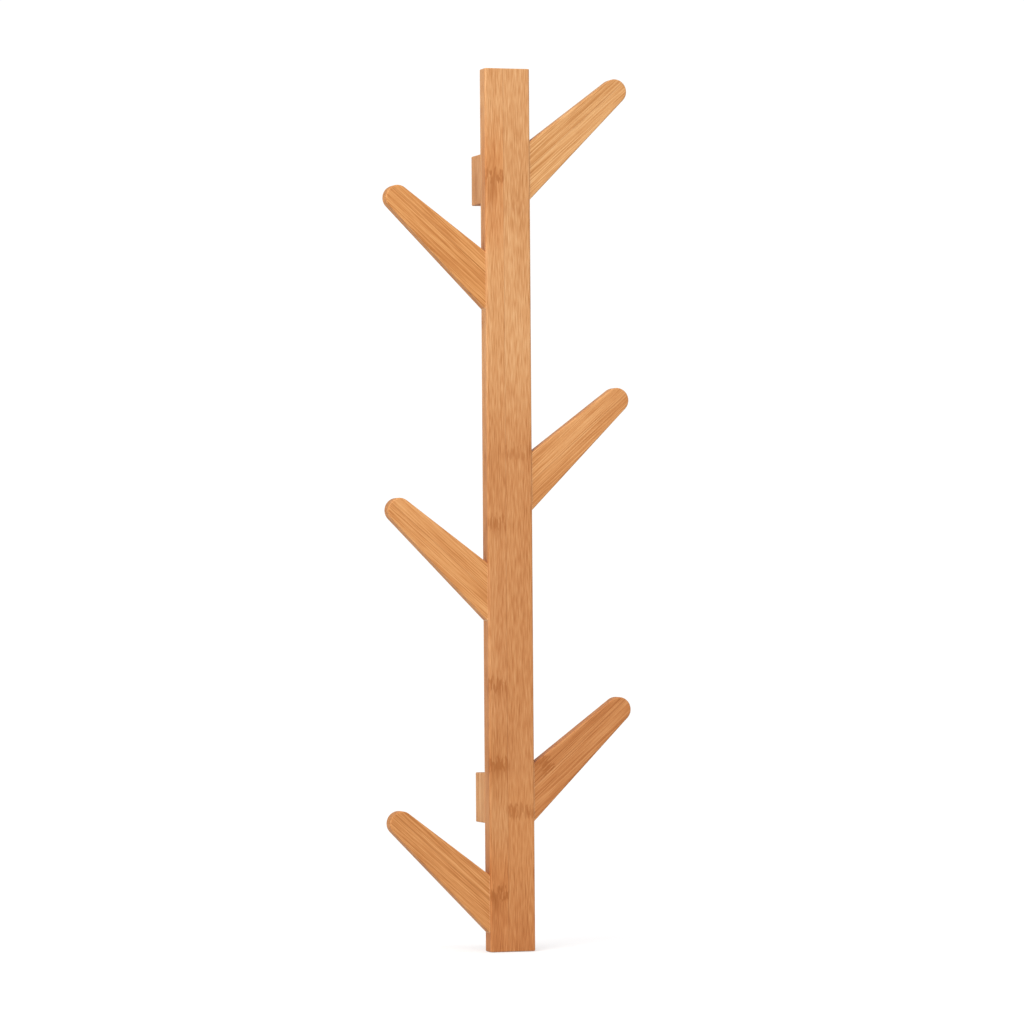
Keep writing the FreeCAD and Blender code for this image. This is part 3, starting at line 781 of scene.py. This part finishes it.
# %% Finish a board
RELIEF = 0.16 * MM
RELIEF_STRENGTH = 0.6
WOOD_SPECULAR = 0.25
COAT_WEIGHT = 0.05
COAT_ROUGHNESS = 0.28


def dress(node_name, material):
    """Puts a finish on a CAD piece, in the slot that the piece already has."""
    nodes[node_name].material_slots[0].material = material


def finish_board(node_name, plies, strip_width, joint_at, tints, seed, turn=0.0,
                 centre=(0.0, 0.0, 0.0), dashes_a_metre=75.0, contrast=0.74,
                 left_marks=NO_KNUCKLE, right_marks=NO_KNUCKLE):
    """Gives a board its laminated bamboo. Widths are in mm, and turn is the lean of its strips in
    degrees, about centre. tints holds the tints by height of the strips left and right of the
    front joint."""
    low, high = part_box(node_name)
    material, tree, shader, place = new_material(f"lacquered_bamboo_{node_name}")
    lean = math.radians(turn)
    centred = put(tree, "ShaderNodeMapping")
    feed(tree, centred.inputs["Vector"], place)
    centred.inputs["Location"].default_value = [-way for way in centre]
    turned = put(tree, "ShaderNodeMapping")
    feed(tree, turned.inputs["Vector"], centred.outputs[0])
    turned.inputs["Rotation"].default_value = (0.0, lean, 0.0)
    board_place = turned.outputs[0]
    laid = use_group(tree, strips, {
        "Board Place": board_place,
        "Strip Width": strip_width * MM,
        "Joint At": joint_at * MM,
        "Front At": low.y,
        "Ply": (high.y - low.y) / plies,
        "Plies": float(plies),
        "Seed": seed,
    })
    grain = use_group(tree, fibres, {
        "Own Place": laid["Own Place"],
        "Dashes a Metre": dashes_a_metre,
    })
    left_of_joint = number(tree, "LESS_THAN", laid["Strip Number"], -0.5)
    stain = mark_knuckles(
        tree, board_place, laid, left_of_joint, grain["Streaks"], left_marks, right_marks
    )
    normal = put(tree, "ShaderNodeNewGeometry").outputs["Normal"]
    along = (-math.sin(lean), 0.0, math.cos(lean))
    facing_along = number(tree, "ABSOLUTE", vector(tree, "DOT_PRODUCT", normal, along))
    wear = use_group(tree, edges, {"Breakup": grain["Dashes"]})
    height = height_of(tree, place)
    left_tint, right_tint = (tint_by_height(tree, height, stops) for stops in tints)
    looks = use_group(tree, bamboo, {
        "Tone": laid["Tone"],
        "Glue Line": laid["Glue Line"],
        "Streaks": grain["Streaks"],
        "Dashes": grain["Dashes"],
        "Fibres": grain["Fibres"],
        "Bundles": grain["Bundles"],
        "Drift": grain["Drift"],
        "Stain": stain,
        "Wear": wear["Wear"],
        "End Grain": step(tree, facing_along, 0.75, 0.97),
        "Contrast": contrast,
        "Tint": mix(tree, left_of_joint, right_tint, left_tint),
    })
    feed(tree, shader.inputs["Base Color"], looks["Colour"])
    feed(tree, shader.inputs["Roughness"], looks["Roughness"])
    bump = put(tree, "ShaderNodeBump")
    feed(tree, bump.inputs["Height"], looks["Height"])
    feed(tree, bump.inputs["Distance"], RELIEF)
    feed(tree, bump.inputs["Strength"], RELIEF_STRENGTH)
    feed(tree, shader.inputs["Normal"], bump.outputs[0])
    feed(tree, shader.inputs["Specular IOR Level"], WOOD_SPECULAR)
    feed(tree, shader.inputs["Coat Weight"], COAT_WEIGHT)
    feed(tree, shader.inputs["Coat Roughness"], COAT_ROUGHNESS)
    dress(node_name, material)


print(f"ready to finish boards, with {RELIEF / MM:.2f} mm of relief")

# %% [markdown]
# ## The upright board
#
# The board shows two strips on its front, one of 17 and one of 25 mm, with a single glue line
# between them. Its upper half is pale honey, and the strips deepen to caramel towards the foot,
# partly in their own tone and partly as painted shade: a painted shadow over the middle of the
# board and light falling off towards the foot. So each strip has a list of tints by height. Its
# knuckles are spaced as on a cane, at other heights in each strip. One tint for the whole board
# would be quicker, but then its two strips would look like one.

# %% Finish the upright board
# Below 150 mm the stops are darker partly in the cane's own tone and partly as painted shade: a
# painted shadow over the middle of the board and light falling off towards the foot.
POST_LEFT_TINTS_AND_SHADE = (
    # (height in mm, tint), from the foot up
    (-400, (0.81, 0.61, 0.45)),
    (-345, (0.85, 0.65, 0.47)),
    (-290, (0.88, 0.78, 0.69)),
    (-238, (0.78, 0.62, 0.47)),
    (-190, (0.84, 0.71, 0.61)),
    (20, (0.86, 0.74, 0.63)),
    (150, (1.00, 1.00, 1.00)),
    (200, (1.00, 0.98, 0.95)),
    (235, (0.94, 0.83, 0.73)),
    (290, (0.90, 0.75, 0.60)),
    (345, (1.00, 1.00, 1.00)),
)
POST_RIGHT_TINTS_AND_SHADE = (
    (-400, (0.81, 0.62, 0.46)),
    (-343, (0.85, 0.69, 0.54)),
    (-272, (0.85, 0.70, 0.56)),
    (-240, (0.82, 0.68, 0.56)),
    (20, (0.86, 0.74, 0.63)),
    (150, (0.98, 0.98, 0.98)),
)
POST_LEFT_KNUCKLES = (
    # (height and tail in mm, strength), from the foot up
    (-354, 24, 0.95),
    (-240, 22, 0.90),
    (-170, 20, 0.85),
    (-27, 24, 0.70),
    (279, 46, 0.80),
)
POST_RIGHT_KNUCKLES = (
    (-282, 8, 0.70),
    (36, 10, 0.45),
    (251, 5, 0.26),
)
finish_board(
    "post", plies=3, strip_width=25.0, joint_at=-4.0, tints=(POST_LEFT_TINTS_AND_SHADE, POST_RIGHT_TINTS_AND_SHADE),
    seed=3.0, left_marks=POST_LEFT_KNUCKLES, right_marks=POST_RIGHT_KNUCKLES,
)
print(f"upright board: {len(POST_LEFT_KNUCKLES + POST_RIGHT_KNUCKLES)} front knuckles")

# %% [markdown]
# ## The hook boards
#
# The six hooks are sawn from one kind of panel, but each from another part of it, so each has its
# own seed, joint and tint. The strips lean with the hook, half way between its top and bottom
# edges. One shared material would be quicker, but six hooks with the same streaks would give the
# copy away.

# %% Finish the hooks
HOOK_LEAN = 48.5
HOOK_PLIES = 3
STRIP_WIDTH = 23.0
HOOKS = {
    # name: (joint from the base's lower corner in mm, seed, tint, knuckles left of the joint)
    "hook_left_upper": (24.5, 11.0, (0.96, 0.84, 0.64), NO_KNUCKLE),
    "hook_left_middle": (20.0, 12.0, (0.95, 0.83, 0.66), NO_KNUCKLE),
    "hook_left_lower": (22.0, 13.0, (0.96, 0.84, 0.67), NO_KNUCKLE),
    "hook_right_upper": (-21.0, 14.0, (1.00, 1.00, 0.92), NO_KNUCKLE),
    "hook_right_middle": (-19.0, 15.0, (0.96, 0.86, 0.72), NO_KNUCKLE),
    # Its darker tint is partly the cane's own tone and partly painted shade, a shadow over this
    # hook.
    "hook_right_lower": (-23.0, 16.0, (0.81, 0.63, 0.47), ((42, 24, 1.00),)),
}
for hook_name, (joint_at, seed, tint, hook_knuckles) in HOOKS.items():
    hook_low, hook_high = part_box(hook_name)
    on_left = hook_low.x < 0
    hook_tints = ((0, tint),)
    finish_board(
        hook_name, HOOK_PLIES, STRIP_WIDTH, joint_at, (hook_tints, hook_tints), seed,
        turn=HOOK_LEAN if on_left else -HOOK_LEAN,
        centre=Vector((hook_high.x if on_left else hook_low.x, 0.0, hook_low.z)),
        dashes_a_metre=15.0, contrast=1.0, left_marks=hook_knuckles,
    )
print("hooks finished:", ", ".join(HOOKS))

# %% [markdown]
# ## The spacer blocks
#
# The two blocks are offcuts of a thicker panel with five plies, and their strips run upright like
# the board's. Only their outer edges and their backs show, where the plies lie one behind the
# other, so the same function finishes them with more plies. A plain brown would do from the front
# alone.

# %% Finish the spacer blocks
BLOCK_PLIES = 5
BLOCKS = {
    # name: (seed, tint)
    "spacer_block_upper": (21.0, (0.90, 0.84, 0.79)),
    "spacer_block_lower": (22.0, (1.00, 1.00, 0.97)),
}
for block_name, (seed, tint) in BLOCKS.items():
    block_low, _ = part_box(block_name)
    block_tints = ((0, tint),)
    finish_board(
        block_name, BLOCK_PLIES, STRIP_WIDTH, joint_at=3.0, tints=(block_tints, block_tints),
        seed=seed, centre=Vector((0.0, 0.0, block_low.z)),
    )
print("spacer blocks finished in", BLOCK_PLIES, "plies")

# %% [markdown]
# ## The dowels
#
# Dowels are turned from beech, which is pinkish, close and even, with the short brown flecks of
# its rays. They run from each hook into the board, so their grain runs along X. They stay
# unlacquered, because glue needs bare wood, and so they are the dullest surface of the rack. The
# bamboo groups would be quicker to use again, but beech has no bundles and no knuckles.

# %% Finish the dowels
BEECH_PALE = (0.690, 0.470, 0.290, 1.0)
BEECH_PINK = (0.560, 0.340, 0.200, 1.0)
BEECH_FLECK = (0.330, 0.170, 0.085, 1.0)
RAYS_A_METRE = (420.0, 2400.0, 2400.0)
BEECH_RELIEF = 0.08 * MM

beech, tree, shader, place = new_material("bare_beech")
beech_grain = noise(tree, place, (30.0, 900.0, 900.0), detail=3.0)
beech_wood = mix(tree, step(tree, beech_grain, 0.30, 0.70), BEECH_PINK, BEECH_PALE)
ray_cells = put(tree, "ShaderNodeTexVoronoi", feature="F1")
feed(tree, ray_cells.inputs["Vector"], vector(tree, "MULTIPLY", place, RAYS_A_METRE))
feed(tree, ray_cells.inputs["Scale"], 1.0)
flecks = step(tree, ray_cells.outputs["Distance"], 0.30, 0.12)
beech_wear = use_group(tree, edges, {"Reach": 0.5 * MM, "Breakup": beech_grain})
beech_wood = mix(tree, number(tree, "MULTIPLY", flecks, 0.55), beech_wood, BEECH_FLECK)
beech_wood = mix(tree, number(tree, "MULTIPLY", beech_wear["Wear"], 0.3), beech_wood, BEECH_PALE)
feed(tree, shader.inputs["Base Color"], beech_wood)
feed(tree, shader.inputs["Roughness"], step(tree, beech_grain, 0.3, 0.7, 0.72, 0.58))
beech_relief = put(tree, "ShaderNodeBump")
feed(tree, beech_relief.inputs["Height"], number(tree, "SUBTRACT", beech_grain, flecks))
feed(tree, beech_relief.inputs["Distance"], BEECH_RELIEF)
feed(tree, shader.inputs["Normal"], beech_relief.outputs[0])

dowel_names = [name for name in nodes if name.startswith("dowel_")]
for dowel_name in dowel_names:
    dress(dowel_name, beech)
print(len(dowel_names), "dowels finished in beech")

# %% [markdown]
# ## Plated steel
#
# The keyhole plates are stamped from zinc-coated sheet, and the screws are zinc plated. Zinc
# freezes in flat crystals, so its tone changes from patch to patch, and handling leaves fine
# scratches. Cells of a Voronoi texture give such patches, where cloudy noise would give stains.
# Both metals come from one group, with larger crystals and longer scratches on the sheet.

# %% Group: plated metal
BARE_METAL = (0.92, 0.92, 0.91, 1.0)

plated, taken, given = new_group(
    "plated metal",
    {
        "Place": ("vector", (0.0, 0.0, 0.0)),
        "Crystals": ("value", 500.0),
        "Scratches": ("vector", (300.0, 300.0, 9000.0)),
        "Light": ("colour", (0.80, 0.82, 0.84, 1.0)),
        "Dark": ("colour", (0.52, 0.54, 0.57, 1.0)),
        "Wear": ("value", 0.0),
    },
    {"Colour": "colour", "Roughness": "value", "Height": "value"},
)
crystals = put(plated, "ShaderNodeTexVoronoi", feature="F1")
feed(plated, crystals.inputs["Vector"], taken["Place"])
feed(plated, crystals.inputs["Scale"], taken["Crystals"])
crystal_tone = put(plated, "ShaderNodeSeparateColor")
feed(plated, crystal_tone.inputs[0], crystals.outputs["Color"])
scratch_noise = noise(plated, taken["Place"], taken["Scratches"], detail=3.0)
scratches = step(plated, scratch_noise, 0.56, 0.70)
dulling = noise(plated, taken["Place"], (160.0, 160.0, 160.0), detail=3.0)
from_crystals = number(plated, "MULTIPLY", crystal_tone.outputs[0], 0.55)
metal_tone = number(plated, "ADD", from_crystals, number(plated, "MULTIPLY", dulling, 0.45))
metal = mix(plated, metal_tone, taken["Dark"], taken["Light"])
metal = mix(plated, number(plated, "MULTIPLY", scratches, 0.35), metal, taken["Light"])
metal = mix(plated, number(plated, "MULTIPLY", taken["Wear"], 0.5), metal, BARE_METAL)
feed(plated, given["Colour"], metal)
dullness = number(plated, "ADD", 0.24, number(plated, "MULTIPLY", dulling, 0.26))
dullness = number(plated, "ADD", dullness, number(plated, "MULTIPLY", scratches, 0.12))
feed(plated, given["Roughness"], dullness)
crystal_height = number(plated, "MULTIPLY", crystal_tone.outputs[0], 0.25)
feed(plated, given["Height"], number(plated, "SUBTRACT", crystal_height, scratches))
print("plated metal group:", len(plated.nodes), "nodes")

# %% [markdown]
# A plate and a screw differ only in numbers: the sheet has large crystals, and scratches across
# it from the press, while a screw is small, bright and rubbed along its shank. So one function
# makes both finishes from the group. Two separate materials would say the same things twice.

# %% Finish the plates and the screws
METAL_RELIEF = 0.03 * MM


def finish_metal(name, crystals_per_metre, scratch_stretch, light, dark, reach):
    """A zinc-plated steel material."""
    material, tree, shader, place = new_material(name)
    rubbing = noise(tree, place, (700.0, 700.0, 700.0))
    wear = use_group(tree, edges, {"Reach": reach, "Breakup": rubbing})
    looks = use_group(tree, plated, {
        "Place": place,
        "Crystals": crystals_per_metre,
        "Scratches": scratch_stretch,
        "Light": light,
        "Dark": dark,
        "Wear": wear["Wear"],
    })
    feed(tree, shader.inputs["Base Color"], looks["Colour"])
    feed(tree, shader.inputs["Roughness"], looks["Roughness"])
    feed(tree, shader.inputs["Metallic"], 1.0)
    bump = put(tree, "ShaderNodeBump")
    feed(tree, bump.inputs["Height"], looks["Height"])
    feed(tree, bump.inputs["Distance"], METAL_RELIEF)
    feed(tree, shader.inputs["Normal"], bump.outputs[0])
    return material


zinc_sheet = finish_metal(
    "zinc_sheet", crystals_per_metre=420.0, scratch_stretch=(220.0, 220.0, 7000.0),
    light=(0.80, 0.81, 0.82, 1.0), dark=(0.50, 0.52, 0.55, 1.0), reach=0.5 * MM,
)
zinc_screw = finish_metal(
    "zinc_screw", crystals_per_metre=1400.0, scratch_stretch=(2600.0, 900.0, 2600.0),
    light=(0.84, 0.84, 0.82, 1.0), dark=(0.58, 0.59, 0.60, 1.0), reach=0.35 * MM,
)
plate_names = [name for name in nodes if name.startswith("hanger_plate_")]
screw_names = [name for name in nodes if "_screw_" in name]
for plate_name in plate_names:
    dress(plate_name, zinc_sheet)
for screw_name in screw_names:
    dress(screw_name, zinc_screw)
print(len(plate_names), "plates and", len(screw_names), "screws finished in zinc")
